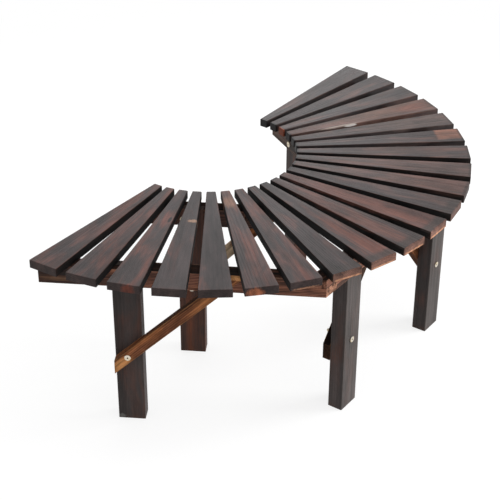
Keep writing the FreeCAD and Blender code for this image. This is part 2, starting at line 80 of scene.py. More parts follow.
def side_angle(name):
    """Angle of the frame side that a rail, leg or brace belongs to."""
    kind, _, hand = name.split("_")
    return CHORD_ANGLES["front" if kind == "front" else hand]


def slat_frame(name):
    """The slats share out the half circle so that the outer corners reach the straight side."""
    edge_angle = math.degrees(math.atan(SLAT_OUTER_WIDTH / 2 / SEAT_RADIUS))
    pitch = (180 - 2 * edge_angle) / (SLAT_COUNT - 1)
    angle = (int(name[-2:]) - (SLAT_COUNT + 1) / 2) * pitch
    return centred(outward(angle), (OUT, ALONG, UP), name)


def rail_frame(name):
    return centred(outward(side_angle(name)), (ALONG, TREEWARD, UP), name)


def leg_frame(name):
    return centred(outward(side_angle(name)), (DOWN, ALONG, OUT), name)


def brace_frame(name):
    """The brace is cut upright and level, so its box has the slope of the brace."""
    place = outward(side_angle(name))
    low, high = box_in(place, name)
    slope = math.atan2(high.z - low.z, high.y - low.y)
    hand = 1 if name.endswith("left") else -1
    grain = Vector((0, hand * math.cos(slope), math.sin(slope)))
    across = Vector(OUT).cross(grain)
    return centred(place, (grain, across, Vector(OUT)), name)


# Node trees

class Graph:
    """Short ways to add nodes to one tree. A value is a number, a tuple or another node's socket."""

    def __init__(self, tree):
        self.tree = tree

    def node(self, kind, **settings):
        made = self.tree.nodes.new(kind)
        for name, value in settings.items():
            setattr(made, name, value)
        return made

    def feed(self, socket, value):
        if isinstance(value, bpy.types.NodeSocket):
            self.tree.links.new(value, socket)
        else:
            socket.default_value = value

    def maths(self, operation, *values, clamp=False):
        made = self.node("ShaderNodeMath", operation=operation, use_clamp=clamp)
        for socket, value in zip(made.inputs, values):
            self.feed(socket, value)
        return made.outputs[0]

    def vectors(self, operation, *values, output=0):
        made = self.node("ShaderNodeVectorMath", operation=operation)
        for socket, value in zip(made.inputs, values):
            self.feed(socket, value)
        return made.outputs[output]

    def split(self, vector):
        made = self.node("ShaderNodeSeparateXYZ")
        self.feed(made.inputs[0], vector)
        return made.outputs

    def join(self, x, y, z):
        made = self.node("ShaderNodeCombineXYZ")
        for socket, value in zip(made.inputs, (x, y, z)):
            self.feed(socket, value)
        return made.outputs[0]

    def noise(self, place, stretch, detail=2.0, roughness=0.5, distortion=0.0, output=0):
        """Noise with so many lumps to the metre along each axis."""
        made = self.node("ShaderNodeTexNoise")
        self.feed(made.inputs["Vector"], self.vectors("MULTIPLY", place, stretch))
        made.inputs["Scale"].default_value = 1
        made.inputs["Detail"].default_value = detail
        made.inputs["Roughness"].default_value = roughness
        made.inputs["Distortion"].default_value = distortion
        return made.outputs[output]

    def smooth(self, value, low, high, start=0.0, stop=1.0):
        """From start to stop, with an easy S curve, as the value goes from low to high."""
        made = self.node("ShaderNodeMapRange", interpolation_type="SMOOTHSTEP")
        for socket, number in zip(made.inputs, (value, low, high, start, stop)):
            self.feed(socket, number)
        return made.outputs[0]

    def mix(self, factor, first, second, blend="MIX"):
        made = self.node("ShaderNodeMix", data_type="RGBA", blend_type=blend)
        self.feed(made.inputs[0], factor)
        self.feed(made.inputs[6], first)
        self.feed(made.inputs[7], second)
        return made.outputs[2]

    def times(self, first, second):
        return self.maths("MULTIPLY", first, second)

    def total(self, start, *terms):
        """Start, plus each value times its weight."""
        for weight, value in terms:
            start = self.maths("ADD", start, self.times(value, weight))
        return start

    def toned(self, colour, tone):
        return self.mix(1.0, colour, self.join(tone, tone, tone), "MULTIPLY")


def paint(red, green, blue):
    """Linear colour from the 0 to 255 numbers of a paint swatch."""
    def linear(level):
        share = level / 255
        return share / 12.92 if share <= 0.04045 else ((share + 0.055) / 1.055) ** 2.4
    return (linear(red), linear(green), linear(blue), 1)


# Stained softwood, one node group for every board. Position is in the board's own frame.

# Black of the faces along the char axis: char, and painted shade in the gaps between boards
CHAR_AND_SHADE = paint(6, 5, 5)
RING_WIDTH = 0.0042
RING_STRETCH = 0.025
KNOTS_PER_METRE = 6.0
KNOT_RADIUS = 0.007
KNOT_RING_WIDTH = 0.0016
KNOT_PUSH = 0.012
BEND = 0.014
RAGGEDNESS = 0.006
RAGGED_ENDS = 4
RAGGED_PATCHES = 3

# Knots run through the board's thickness, so they are found in a flattened space

KNOT_SPACE = (0.8, 1.0, 0.15)

# Noises, with their lumps to the metre along the grain, across the board and through it

FIBRES = {"stretch": (28, 750, 750), "detail": 3, "roughness": 0.6}
HAIRS = {"stretch": (90, 2200, 2200)}
STREAKS = {"stretch": (6, 24, 24), "detail": 3, "roughness": 0.55, "distortion": 0.6}
LONG_STREAKS = {"stretch": (2.4, 110, 70), "roughness": 0.6}
PATCH_STREAKS = {"stretch": (14, 190, 120), "detail": 3, "roughness": 0.6}
MOTTLING = {"stretch": (13, 48, 48), "detail": 3, "roughness": 0.6, "distortion": 0.3}
BLOTCHES = {"stretch": (4, 13, 13)}
BENDS = {"stretch": (1.6, 7, 7)}
SPLINTERS = {"stretch": (60, 160, 160), "detail": 4, "roughness": 0.65}
HOLLOWS = {"stretch": (3, 14, 14)}
MOTTLING_START = (1.3, 0.6, 2.2)
LONG_STREAKS_START = (3.1, 1.7, 0.4)
NOISE_MIDDLE = 0.5

# Where a mask starts, and where it is full

KNOT_RIM = (KNOT_RADIUS * 1.15, KNOT_RADIUS * 0.85)
KNOT_SWELL = (KNOT_RADIUS * 4, 0)
KNOT_RINGS = (0.2, 0.8)
LATE_WOOD = (0.25, 0.8)
RING_RIM = (1.0, 0.92)
RED_STREAKS = (0.54, 0.86)
PALE_LINES = (0.48, 0.34)
DARK_LINES = (0.48, 0.62)
CHARRED_AND_SHADED_FACE = (0.3, 0.8)
END_FACE = (0.35, 0.6)
FAR_END_FACE = (0.0, 0.5)
ARRIS_WEAR = (0.0052, 0.0022)
END_WEAR = (0.030, 0.004)
WORN_BLOTCH = (0.35, 0.65)

# How much each thing shows in the colour

FIBRE_TONE, MOTTLE_TONE, HAIR_TONE = 0.5, 1.2, 0.28
PALE_LINE_TONE = 0.6
DARKEST_TONE = 0.15
RED_REACH = 0.42
LATE_WOOD_IN_RED = 0.35
LATE_WOOD_IN_RAW, RAW_DARKENING = 0.6, 0.55
LATE_WOOD_IN_ENDS = 0.6
NEAR_END_TONE = 0.25
END_COVER = 0.9
KNOT_COVER = 0.85

# Sockets of the two node groups

WOOD_INPUTS = {
    "Position": "NodeSocketVector",
    "Normal": "NodeSocketVector",
    "Grain": "NodeSocketVector",
    "Char Axis": "NodeSocketVector",
    "Shift": "NodeSocketVector",
    "Half Size": "NodeSocketVector",
    "Taper": "NodeSocketFloat",
    "Pith": "NodeSocketVector",
    "Early": "NodeSocketColor",
    "Late": "NodeSocketColor",
    "Red": "NodeSocketColor",
    "Raw": "NodeSocketColor",
    "Rings": "NodeSocketFloat",
    "Contrast": "NodeSocketFloat",
    "Redness": "NodeSocketFloat",
    "Char And Shade": "NodeSocketFloat",
    "Wear": "NodeSocketFloat",
    "End Wear": "NodeSocketFloat",
    "End Tone": "NodeSocketFloat",
    "Knots": "NodeSocketFloat",
    "Dullness": "NodeSocketFloat",
    "Lines": "NodeSocketFloat",
}
WOOD_OUTPUTS = {
    "Color": "NodeSocketColor",
    "Roughness": "NodeSocketFloat",
    "Height": "NodeSocketFloat",
    "Tone": "NodeSocketFloat",
}
PATCH_INPUTS = {
    "Position": "NodeSocketVector",
    "Shift": "NodeSocketVector",
    "Place": "NodeSocketVector",
    "Size": "NodeSocketVector",
    "Square": "NodeSocketFloat",
    "Edge": "NodeSocketFloat",
    "Strength": "NodeSocketFloat",
}
PATCH_OUTPUTS = {"Mask": "NodeSocketFloat"}


def new_group(name, inputs, outputs):
    tree = bpy.data.node_groups.new(name, "ShaderNodeTree")
    for in_out, sockets in (("INPUT", inputs), ("OUTPUT", outputs)):
        for socket, kind in sockets.items():
            tree.interface.new_socket(name=socket, in_out=in_out, socket_type=kind)
    g = Graph(tree)
    return g, g.node("NodeGroupInput").outputs, g.node("NodeGroupOutput").inputs


def make_patch_group():
    """Mask of a patch, round or square and drawn out by streaks: where the stain took less or more,
    where the wood is worn, or where light or shade is painted.
    """
    g, given, wanted = new_group("stain_and_light_patch", PATCH_INPUTS, PATCH_OUTPUTS)
    offset = g.vectors("SUBTRACT", given["Position"], given["Place"])
    offset = g.vectors("DIVIDE", offset, given["Size"])
    round_reach = g.vectors("LENGTH", offset, output=1)
    x, y, z = g.split(g.vectors("ABSOLUTE", offset))
    square_reach = g.maths("MAXIMUM", g.maths("MAXIMUM", x, y), z)
    blend = g.node("ShaderNodeMix")
    g.feed(blend.inputs[0], given["Square"])
    g.feed(blend.inputs[2], round_reach)
    g.feed(blend.inputs[3], square_reach)
    streak = g.noise(g.vectors("ADD", given["Position"], given["Shift"]), **PATCH_STREAKS)
    raggedness = g.times(given["Edge"], RAGGED_PATCHES)
    ragged = g.times(g.maths("SUBTRACT", streak, NOISE_MIDDLE), raggedness)
    reach = g.maths("ADD", blend.outputs[0], ragged)
    outside = g.maths("ADD", 1, given["Edge"])
    inside = g.maths("SUBTRACT", 1, given["Edge"])
    mask = g.smooth(reach, outside, inside)
    g.feed(wanted["Mask"], g.times(mask, given["Strength"]))
    return g.tree


def find_knots(g, given, shifted):
    """Distance to the nearest knot, the knot, and the swelling of the grain about it."""
    cells = g.node("ShaderNodeTexVoronoi")
    g.feed(cells.inputs["Vector"], g.vectors("MULTIPLY", shifted, KNOT_SPACE))
    cells.inputs["Scale"].default_value = KNOTS_PER_METRE
    distance = g.times(cells.outputs["Distance"], 1 / KNOTS_PER_METRE)
    chance = g.split(cells.outputs["Color"])[0]
    present = g.maths("LESS_THAN", chance, given["Knots"])
    knot = g.times(g.smooth(distance, *KNOT_RIM), present)
    swell = g.times(g.smooth(distance, *KNOT_SWELL), present)
    return distance, knot, swell


def find_rings(g, given, shifted, knot_distance, knot, swell):
    """Growth rings about the pith, bent by slow noise and round the knots.

    The first value goes from 0 to 1 through each ring, and the second is 1 in its late wood.
    """
    middle = [NOISE_MIDDLE] * 3
    bend = g.vectors("SUBTRACT", g.noise(shifted, **BENDS, output=1), middle)
    bent = g.vectors("ADD", given["Position"], g.vectors("MULTIPLY", bend, (0, BEND, BEND)))
    from_pith = g.vectors("MULTIPLY", g.vectors("SUBTRACT", bent, given["Pith"]), (RING_STRETCH, 1, 1))
    radius = g.vectors("LENGTH", from_pith, output=1)
    radius = g.maths("ADD", radius, g.times(swell, KNOT_PUSH))
    knot_rings = g.times(knot_distance, 1 / KNOT_RING_WIDTH)
    rings = g.maths("ADD", g.times(radius, 1 / RING_WIDTH), g.times(knot, knot_rings))
    phase = g.maths("FRACT", rings)
    return phase, g.times(g.smooth(phase, *LATE_WOOD), g.smooth(phase, *RING_RIM))


def find_tone(g, given, shifted, fibre, hair, mottle, blotch):
    """How dark a place is, as a factor on its colour that is about 1 on average."""
    long_streak = g.noise(g.vectors("ADD", shifted, LONG_STREAKS_START), **LONG_STREAKS)
    pale_lines = g.smooth(long_streak, *PALE_LINES, 0.0, PALE_LINE_TONE)
    dark_lines = g.smooth(long_streak, *DARK_LINES)
    lines = g.maths("SUBTRACT", pale_lines, dark_lines)
    line_tone = g.maths("ADD", 1, g.times(lines, given["Lines"]))
    hair_tone = g.maths("ADD", 1 - HAIR_TONE * NOISE_MIDDLE, g.times(hair, HAIR_TONE))
    average = (FIBRE_TONE + MOTTLE_TONE + 1) * NOISE_MIDDLE
    tone = g.maths("ADD", g.times(fibre, FIBRE_TONE), g.times(mottle, MOTTLE_TONE))
    tone = g.maths("ADD", tone, g.maths("SUBTRACT", blotch, average))
    tone = g.maths("ADD", 1, g.times(tone, given["Contrast"]))
    tone = g.times(tone, g.times(line_tone, hair_tone))
    return g.maths("MAXIMUM", tone, DARKEST_TONE)


def find_arris(g, given):
    """Distance to the nearest arris, and to the nearer end of the board.

    The first is the middle one of the distances to the three pairs of faces.
    """
    x, y, z = g.split(given["Position"])
    half_x, half_y, half_z = g.split(given["Half Size"])
    half_width = g.maths("ADD", half_y, g.times(g.maths("SUBTRACT", x, half_x), given["Taper"]))
    to_end = g.maths("SUBTRACT", half_x, g.maths("ABSOLUTE", x))
    to_side = g.maths("SUBTRACT", half_width, g.maths("ABSOLUTE", y))
    to_face = g.maths("SUBTRACT", half_z, g.maths("ABSOLUTE", z))
    lesser = g.maths("MINIMUM", to_end, to_side)
    greater = g.maths("MAXIMUM", to_end, to_side)
    return g.maths("MAXIMUM", lesser, g.maths("MINIMUM", greater, to_face)), to_end


def find_wear(g, given, shifted, blotch):
    """Where the stain has worn off: along the arrises, and in blotches near the ends."""
    arris, to_end = find_arris(g, given)
    ragged = g.times(g.noise(shifted, **SPLINTERS), RAGGEDNESS)
    near_arris = g.smooth(g.maths("ADD", arris, ragged), *ARRIS_WEAR)
    near_end = g.smooth(g.maths("ADD", to_end, g.times(ragged, RAGGED_ENDS)), *END_WEAR)
    worn_end = g.times(g.times(near_end, given["End Wear"]), g.smooth(blotch, *WORN_BLOTCH))
    return g.maths("MAXIMUM", g.times(near_arris, given["Wear"]), worn_end)


def find_char_and_shade(g, given):
    """The faces that look along the char axis go black: charred wood, and painted shade in the gaps
    between the slats and on the rail and brace tops.
    """
    facing = g.vectors("DOT_PRODUCT", given["Normal"], given["Char Axis"], output=1)
    return g.times(g.smooth(g.maths("ABSOLUTE", facing), *CHARRED_AND_SHADED_FACE), given["Char And Shade"])


def stained_colour(g, given, shifted, late):
    """Early and late wood under the stain, with red streaks."""
    colour = g.mix(g.times(late, given["Rings"]), given["Early"], given["Late"])
    streak = g.noise(shifted, **STREAKS)
    wanted_red = g.times(given["Redness"], RED_REACH)
    reddish = g.smooth(g.maths("ADD", streak, wanted_red), *RED_STREAKS)
    share = g.maths("SUBTRACT", 1, g.times(late, LATE_WOOD_IN_RED))
    return g.mix(g.times(reddish, share), colour, given["Red"])


def raw_colour(g, given, late):
    """Wood that has lost its stain, with softer rings."""
    dark = g.mix(RAW_DARKENING, given["Raw"], given["Late"])
    return g.mix(g.times(late, LATE_WOOD_IN_RAW), given["Raw"], dark)


def end_colour(g, given, facing, late, tone):
    """End grain, with more of the end tone on the far end, which faces along the grain."""
    end_tone = g.times(g.smooth(facing, *FAR_END_FACE, NEAR_END_TONE, 1.0), given["End Tone"])
    pale = g.mix(end_tone, given["Early"], given["Raw"])
    dark = g.mix(end_tone, given["Late"], given["Early"])
    return g.toned(g.mix(g.times(late, LATE_WOOD_IN_ENDS), pale, dark), tone)


def make_wood_group():
    g, given, wanted = new_group("board_wood", WOOD_INPUTS, WOOD_OUTPUTS)
    shifted = g.vectors("ADD", given["Position"], given["Shift"])
    fibre = g.noise(shifted, **FIBRES)
    hair = g.noise(shifted, **HAIRS)
    mottle = g.noise(g.vectors("ADD", shifted, MOTTLING_START), **MOTTLING)
    blotch = g.noise(shifted, **BLOTCHES)
    knot_distance, knot, swell = find_knots(g, given, shifted)
    phase, late = find_rings(g, given, shifted, knot_distance, knot, swell)
    tone = find_tone(g, given, shifted, fibre, hair, mottle, blotch)
    worn = find_wear(g, given, shifted, blotch)
    charred_and_shaded = find_char_and_shade(g, given)
    facing = g.vectors("DOT_PRODUCT", given["Normal"], given["Grain"], output=1)
    end = g.smooth(g.maths("ABSOLUTE", facing), *END_FACE)

    colour = g.toned(stained_colour(g, given, shifted, late), tone)
    # Faces along the char axis go black, as char and as painted shade
    colour = g.mix(charred_and_shaded, colour, CHAR_AND_SHADE)
    colour = g.mix(worn, colour, raw_colour(g, given, late))
    colour = g.mix(g.times(end, END_COVER), colour, end_colour(g, given, facing, late, tone))
    knot_colour = g.mix(g.smooth(phase, *KNOT_RINGS), given["Late"], given["Red"])
    colour = g.mix(g.times(knot, KNOT_COVER), colour, knot_colour)

    roughness = g.total(given["Dullness"], (0.16, fibre), (-0.05, late), (0.24, mottle))
    dull = g.maths("MAXIMUM", g.maths("MAXIMUM", g.times(worn, 0.5), g.times(end, 0.5)), charred_and_shaded)
    roughness = g.maths("ADD", roughness, g.times(dull, 0.5), clamp=True)
    hollow = g.noise(shifted, **HOLLOWS)
    height = g.total(0, (0.45, late), (0.75, fibre), (0.2, hair), (0.6, knot), (1.2, hollow))

    g.feed(wanted["Color"], colour)
    g.feed(wanted["Roughness"], roughness)
    g.feed(wanted["Height"], height)
    g.feed(wanted["Tone"], tone)
    return g.tree


wood_group = make_wood_group()
patch_group = make_patch_group()

PITH_NEAREST, PITH_FARTHEST = 0.02, 0.09
PITH_ASIDE = 0.03
SHIFT_REACH = 9
GRAIN_BUMP = 0.55
GRAIN_DEPTH = 0.0008


def make_wood(name, place, half, gloss, char_and_shade_axis, look, patches):
    """Look and patches name the sockets of the two groups that they feed."""
    material = bpy.data.materials.new(f"{name}_wood")
    material.use_nodes = True
    g = Graph(material.node_tree)
    shader = material.node_tree.nodes["Principled BSDF"]
    shader.inputs["Specular IOR Level"].default_value = gloss
    position = g.node("ShaderNodeTexCoord").outputs
    local = g.node("ShaderNodeMapping", vector_type="TEXTURE")
    g.feed(local.inputs["Vector"], position["Object"])
    local.inputs["Location"].default_value = place.translation
    local.inputs["Rotation"].default_value = place.to_euler()
    pith_depth = rng.uniform(PITH_NEAREST, PITH_FARTHEST) * rng.choice((-1, 1))
    shift = [rng.uniform(-SHIFT_REACH, SHIFT_REACH) for _ in range(3)]
    values = {
        "Position": local.outputs[0],
        "Normal": position["Normal"],
        "Grain": place.to_3x3() @ Vector(LENGTHWISE),
        "Char Axis": place.to_3x3() @ Vector(char_and_shade_axis),
        "Shift": shift,
        "Half Size": half,
        "Pith": (0, rng.uniform(-PITH_ASIDE, PITH_ASIDE), pith_depth),
        **look,
    }
    wood = g.node("ShaderNodeGroup", node_tree=wood_group)
    for socket, value in values.items():
        g.feed(wood.inputs[socket], value)
    tone = wood.outputs["Tone"]
    colour = wood.outputs["Color"]
    # Each patch is stain, wear, painted light or painted shade
    for stain in patches:
        made = g.node("ShaderNodeGroup", node_tree=patch_group)
        sockets = {"Position": local.outputs[0], "Shift": shift, **stain}
        swatch = sockets.pop("Colour")
        for socket, value in sockets.items():
            g.feed(made.inputs[socket], value)
        colour = g.mix(made.outputs["Mask"], colour, g.toned(swatch, tone))
    bump = g.node("ShaderNodeBump")
    bump.inputs["Strength"].default_value = GRAIN_BUMP
    bump.inputs["Distance"].default_value = GRAIN_DEPTH
    g.feed(bump.inputs["Height"], wood.outputs["Height"])
    g.feed(shader.inputs["Base Color"], colour)
    g.feed(shader.inputs["Roughness"], wood.outputs["Roughness"])
    g.feed(shader.inputs["Normal"], bump.outputs[0])
    return material


def wear_material(name, material):
    node = nodes[name]
    node.data.materials.clear()
    node.data.materials.append(material)


SLAT_LOOK = {
    "Early": paint(61, 53, 53), "Late": paint(42, 37, 37),
    "Red": paint(104, 66, 58), "Raw": paint(152, 108, 90),
    "Rings": 0.18, "Contrast": 1.7, "Wear": 0.15, "End Wear": 0.1,
    "End Tone": 0.05, "Char And Shade": 0.97, "Knots": 0.2, "Dullness": 0.2, "Lines": 0.15,
}
RAIL_LOOK = {
    "Early": paint(156, 104, 84), "Late": paint(42, 28, 25),
    "Red": paint(186, 124, 97), "Raw": paint(200, 152, 124),
    "Rings": 0.9, "Contrast": 2.0, "Redness": 0.4, "Char And Shade": 0.9, "Wear": 0.5, "End Wear": 0.8,
    "End Tone": 0.8, "Knots": 0.3, "Dullness": 0.4, "Lines": 0.7,
}
LEG_LOOK = {
    "Early": paint(71, 63, 61), "Late": paint(46, 40, 39),
    "Red": paint(92, 63, 54), "Raw": paint(128, 92, 70),
    "Rings": 0.3, "Contrast": 1.1, "Redness": 0.3, "Char And Shade": 0, "Wear": 0.3, "End Wear": 0.3,
    "End Tone": 0.3, "Knots": 0.2, "Dullness": 0.42, "Lines": 0.25,
}
BRACE_LOOK = {
    "Early": paint(142, 90, 62), "Late": paint(56, 36, 27),
    "Red": paint(178, 112, 68), "Raw": paint(204, 150, 98),
    "Rings": 0.6, "Contrast": 2.6, "Redness": 0.4, "Char And Shade": 0.35, "Wear": 0.8, "End Wear": 0.7,
    "End Tone": 0.9, "Knots": 0.2, "Dullness": 0.5, "Lines": 0.35,
}
GLOSS = {"slat": 0.25, "rail": 0.2, "leg": 0.25, "brace": 0.12}

# How single slats differ, by number from the left end

SLAT_REDNESS = {
    1: 0.4, 2: 0.36, 3: 0.3, 4: 0.15, 5: 0.05, 6: 0.28, 7: 0.3, 8: 0, 9: 0.15, 10: 0.3, 11: 0.3,
    12: 0.15, 13: 0.7, 14: 0.5, 15: 0.3, 16: 0.1, 17: 0.25, 18: 0.5, 19: 0.25, 20: 0.15, 21: 0.15,
}
# Paler end grain on the slats whose outer ends face the key lamp: the wood's end grain and painted
# light
PALE_AND_LIT_ENDS = {8: 0.75, 9: 0.85, 10: 0.8, 11: 0.75, 12: 0.4}
# How black the side faces of these slats are: painted shade in the gaps, less where the key lamp lights
# a side
SIDE_CHAR_AND_SHADE = {15: 0.85, 16: 0.3, 17: 0.0, 18: 0.1, 19: 0.25, 20: 0.4, 21: 0.6}
GREYER_FROM = 12
GREYER_RED = paint(98, 73, 67)

# How other single boards differ. The inner rails and the inner right leg get darker copies of their
# look, painted shade.

PAINTED_SHADE_RAIL = {"Early": paint(84, 56, 46), "Late": paint(28, 20, 18), "Red": paint(104, 64, 48)}
BOARD_CHANGES = {
    "inner_rail_left": PAINTED_SHADE_RAIL,
    "inner_rail_front": PAINTED_SHADE_RAIL,
    "inner_rail_right": {**PAINTED_SHADE_RAIL, "Early": paint(92, 75, 67), "Red": paint(106, 80, 68)},
    "inner_leg_left": {"Redness": 0.6, "Early": paint(60, 49, 45), "Red": paint(94, 62, 51)},
    # A darker copy of the leg look: painted shade
    "inner_leg_right": {"Early": paint(56, 44, 40), "Late": paint(34, 27, 25)},
    "front_leg_left": {"Early": paint(86, 77, 75), "Late": paint(56, 49, 48)},
    "front_brace_left": {
        "Early": paint(60, 42, 34), "Red": paint(84, 54, 38),
        "Char And Shade": 0.85, "End Tone": 0.1, "End Wear": 0.1,
    },
}


# Places where the stain or the wear differs, and places of painted light and shade, measured in the
# board's own frame

def patch(middle, half_size, swatch, strength=0.8, edge=0.25, square=0):
    """Sockets of one patch of stain, wear, painted light or painted shade. Edge is how soft its rim is,
    and square 1 makes it a block.
    """
    return {
        "Place": middle, "Size": half_size, "Colour": paint(*swatch),
        "Strength": strength, "Edge": edge, "Square": square,
    }


SLAT_HALF = slat_frame("slat_11")[1]
SLAT_END, SLAT_TOP = SLAT_HALF.x, SLAT_HALF.z
FRONT_LEG_FACE = leg_frame("front_leg_left")[1].z
SIDE_LEG_HALF = leg_frame("side_leg_left")[1]

# Half sizes that take in the whole board, or only its top

WHOLE = 1.0
TOP_ONLY = 0.008

# Patches that several boards share

# Pale orange lower arris of the outer end: raw wood where the stain wore off, and a painted highlight
# of light from the floor
WORN_AND_LIT_LOWER_ARRIS = patch((SLAT_END, 0, -SLAT_TOP), (0.007, 0.034, 0.0045), (208, 152, 118), square=1)
DARK_INNER_END = patch((-SLAT_END, 0, 0), (0.006, 0.050, WHOLE), (18, 17, 18), 0.85, 0.5, 1)
DARK_TOP_END = patch((SLAT_END - 0.014, 0, SLAT_TOP), (0.013, 0.050, 0.005), (56, 49, 47), 0.85, 0.6, 1)
DARK_OUTER_END = patch((SLAT_END, 0, 0), (0.007, 0.050, WHOLE), (40, 35, 35), 0.6, 0.5, 1)
# Grey over the front faces of the front legs: a painted sheen, standing in for a reflection
PAINTED_SHEEN_FRONT = patch((0, 0, FRONT_LEG_FACE), (WHOLE, WHOLE, 0.003), (84, 79, 77), 0.65, 0.3, 1)

PATCHES = {
    "slat_03": [
        patch((-0.180, 0, SLAT_TOP), (0.070, 0.030, TOP_ONLY), (48, 43, 44), 0.6, 0.8),
        patch((-0.076, 0.006, 0), (0.040, 0.012, WHOLE), (104, 63, 55), 0.7, 0.6),
        patch((-0.076, 0.013, 0), (0.014, 0.004, WHOLE), (22, 16, 16), 0.95),
        patch((SLAT_END, 0.010, -0.004), (0.010, 0.014, 0.014), (120, 64, 50), edge=0.4),
    ],
    "slat_04": [
        patch((-0.079, 0.011, 0), (0.007, 0.012, WHOLE), (178, 140, 114), edge=0.4),
    ],
    "slat_06": [
        patch((-0.172, -0.001, 0), (0.024, 0.016, WHOLE), (130, 94, 76), edge=0.6),
        patch((SLAT_END, -0.014, -0.004), (0.010, 0.018, 0.012), (200, 122, 86), edge=0.4),
    ],
    "slat_07": [
        # Pale orange lower arris: worn wood, and a painted highlight of light from the floor
        patch((SLAT_END, 0, -SLAT_TOP), (0.006, 0.024, 0.003), (208, 152, 118), edge=0.6, square=1),
    ],
    "slat_09": [
        patch((0.135, 0.010, SLAT_TOP), (0.110, 0.020, TOP_ONLY), (112, 66, 54), 0.85, 0.8),
    ],
    "slat_10": [
        patch((0.070, -0.007, SLAT_TOP), (0.170, 0.020, TOP_ONLY), (104, 67, 58), 0.8, 0.8),
    ],
    "slat_11": [
        patch((-0.190, 0, SLAT_TOP), (0.080, 0.030, TOP_ONLY), (64, 54, 54), 0.7, 0.8),
        patch((0.040, 0, SLAT_TOP), (0.190, 0.026, TOP_ONLY), (106, 67, 58), 0.9, 0.8),
    ],
    "slat_12": [
        patch((-0.180, 0, SLAT_TOP), (0.070, 0.030, TOP_ONLY), (50, 46, 47), 0.6, 0.8),
    ],
    "slat_13": [
        patch((0.160, 0, SLAT_TOP), (0.090, 0.040, TOP_ONLY), (102, 72, 65), 0.7, 0.8),
    ],
    "slat_14": [
        patch((0.160, 0, SLAT_TOP), (0.090, 0.040, TOP_ONLY), (94, 73, 68), 0.7, 0.8),
    ],
    "slat_16": [
        patch((0.208, 0.012, 0), (0.046, 0.034, WHOLE), (134, 92, 76), 0.85, 0.1, 1),
    ],
    "slat_17": [
        patch((0.110, 0, SLAT_TOP), (0.150, 0.040, TOP_ONLY), (94, 79, 74), 0.7, 0.8),
    ],
    "slat_18": [
        patch((0.085, 0.004, 0), (0.150, 0.032, WHOLE), (114, 82, 68), 0.6, 0.8),
        patch((0.170, 0.002, 0), (0.050, 0.020, WHOLE), (122, 76, 64), 0.7, 0.7),
        # Nearly white streaks along the arrises: scuffs, with a painted highlight
        patch((-0.050, -0.0235, 0.007), (0.020, 0.002, 0.0035), (248, 242, 236), 1, 0.3),
        patch((-0.105, -0.0198, 0.009), (0.085, 0.003, 0.003), (206, 190, 180), 0.6, 0.5),
    ],
    "slat_19": [
        patch((-SLAT_END, 0, 0), (0.004, 0.020, 0.020), (130, 68, 46), square=1),
    ],
    "outer_rail_left": [
        patch((-0.320, 0, 0), (0.100, WHOLE, 0.05), (62, 40, 32), 0.95, 0.6),
        patch((-0.270, 0, -0.010), (0.060, WHOLE, 0.006), (150, 112, 86), edge=0.6),
    ],
    "front_leg_left": [PAINTED_SHEEN_FRONT],
    "front_leg_right": [PAINTED_SHEEN_FRONT],
    "side_leg_left": [
        patch((0, -0.030, 0), (0.300, 0.016, WHOLE), (38, 33, 32), edge=0.8),
        patch(
            (SIDE_LEG_HALF.x - 0.006, -0.024, SIDE_LEG_HALF.z), (0.006, 0.007, 0.004), (128, 126, 122),
            edge=0.5,
        ),
    ],
    "inner_leg_left": [
        patch((0.120, -0.008, 0), (0.180, 0.009, WHOLE), (140, 82, 56), 0.5, 0.7),
    ],
    "inner_brace_left": [
        # Pale tan patch: painted light, falling through a gap between slats onto the shaded brace
        patch((0.018, 0, 0), (0.026, 0.02, WHOLE), (216, 190, 158), 1, 0.4),
    ],
    "side_brace_left": [
        patch((-0.180, -0.004, 0), (0.030, 0.012, WHOLE), (208, 146, 92), 0.9, 0.5),
        patch((0.120, -0.004, 0), (0.050, 0.012, WHOLE), (186, 122, 76), edge=0.8),
    ],
}

DARK_ENDS_FROM = 8
WORN_AND_LIT_ARRIS_TO = 11
DARK_OUTER_END_FROM = 13


def slat_patches(number):
    """The dark inner end first, then the slat's own patches, then its outer end."""
    own = PATCHES.get(f"slat_{number:02d}", [])
    if number < DARK_ENDS_FROM:
        return own
    outer_end = [WORN_AND_LIT_LOWER_ARRIS] if number <= WORN_AND_LIT_ARRIS_TO else []
    outer_end.append(DARK_OUTER_END if number >= DARK_OUTER_END_FROM else DARK_TOP_END)
    return [DARK_INNER_END, *own, *outer_end]


def dress_slats():
    narrowing = (SLAT_OUTER_WIDTH - SLAT_INNER_WIDTH) / 2
    for number in range(1, SLAT_COUNT + 1):
        name = f"slat_{number:02d}"
        place, half = slat_frame(name)
        look = {
            **SLAT_LOOK,
            "Taper": narrowing / (2 * half.x),
            "Redness": SLAT_REDNESS[number],
            "End Tone": PALE_AND_LIT_ENDS.get(number, SLAT_LOOK["End Tone"]),
            "Char And Shade": SIDE_CHAR_AND_SHADE.get(number, SLAT_LOOK["Char And Shade"]),
        }
        if number >= GREYER_FROM:
            look["Red"] = GREYER_RED
        material = make_wood(name, place, half, GLOSS["slat"], SIDEWAYS, look, slat_patches(number))
        wear_material(name, material)


def is_board(name, kind):
    words = name.split("_")
    return len(words) == 3 and words[1] == kind and words[2] in CHORD_ANGLES


def dress_boards(kind, find_frame, char_and_shade_axis, board_look):
    for name in sorted(nodes):
        if not is_board(name, kind):
            continue
        place, half = find_frame(name)
        look = {**board_look, **BOARD_CHANGES.get(name, {})}
        material = make_wood(name, place, half, GLOSS[kind], char_and_shade_axis, look, PATCHES.get(name, []))
        wear_material(name, material)


dress_slats()
dress_boards("rail", rail_frame, THROUGH, RAIL_LOOK)
dress_boards("leg", leg_frame, SIDEWAYS, LEG_LOOK)
dress_boards("brace", brace_frame, SIDEWAYS, BRACE_LOOK)


# Plated steel, dark with grime and painted shade in the sockets

